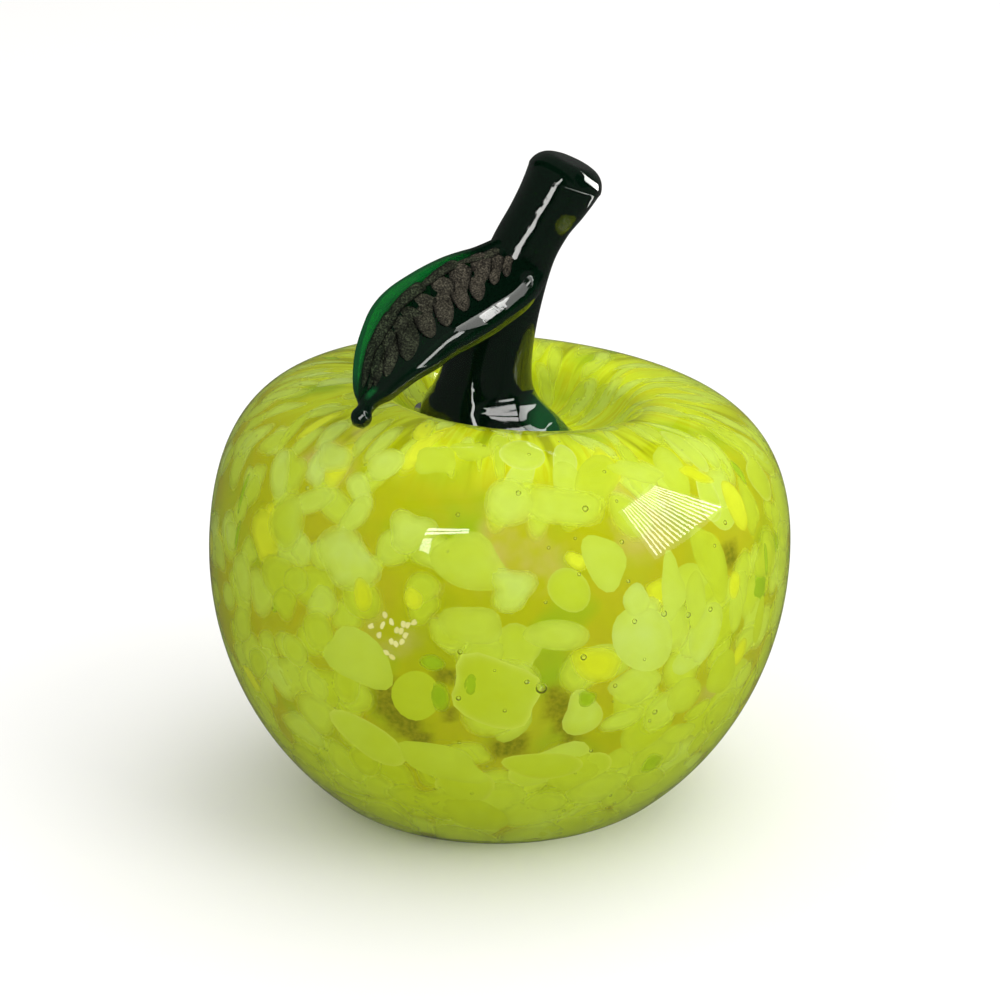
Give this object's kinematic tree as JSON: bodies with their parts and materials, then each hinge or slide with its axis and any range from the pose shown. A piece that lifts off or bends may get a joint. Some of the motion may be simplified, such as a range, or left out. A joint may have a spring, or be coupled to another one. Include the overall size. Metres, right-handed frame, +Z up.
{
  "type": "art glass apple",
  "caption": "Hand-blown art glass apple with lime chips cased in clear glass, a dark green stem and a drooping veined leaf.",
  "frame": {"origin": "centre of the bounding box's footprint, on the plane of the ground base", "axes": "+Z up from the base to the stem's end; -Y towards the viewer, where the leaf hangs forward; +X to the viewer's right, the way the stem leans"},
  "size_m": [0.09, 0.09, 0.1013],
  "materials": {
    "clear_glass": "fire-polished, gloss",
    "amber_glass": "clear glass with a faint amber tint, gloss",
    "lime_glass": "opaque coloured glass chips, cased",
    "yellow_glass": "opaque coloured glass chips, cased",
    "green_glass": "translucent coloured glass chips, cased",
    "dark_green_glass": "deep green transparent glass, fire-polished, gloss"
  },
  "bodies": {
    "root": {"clear_casing": "clear_glass", "inner_gather": "amber_glass", "lime_chips": "lime_glass", "yellow_chips": "yellow_glass", "green_chips": "green_glass", "stem": "dark_green_glass", "leaf": "dark_green_glass"}
  },
  "joints": []
}
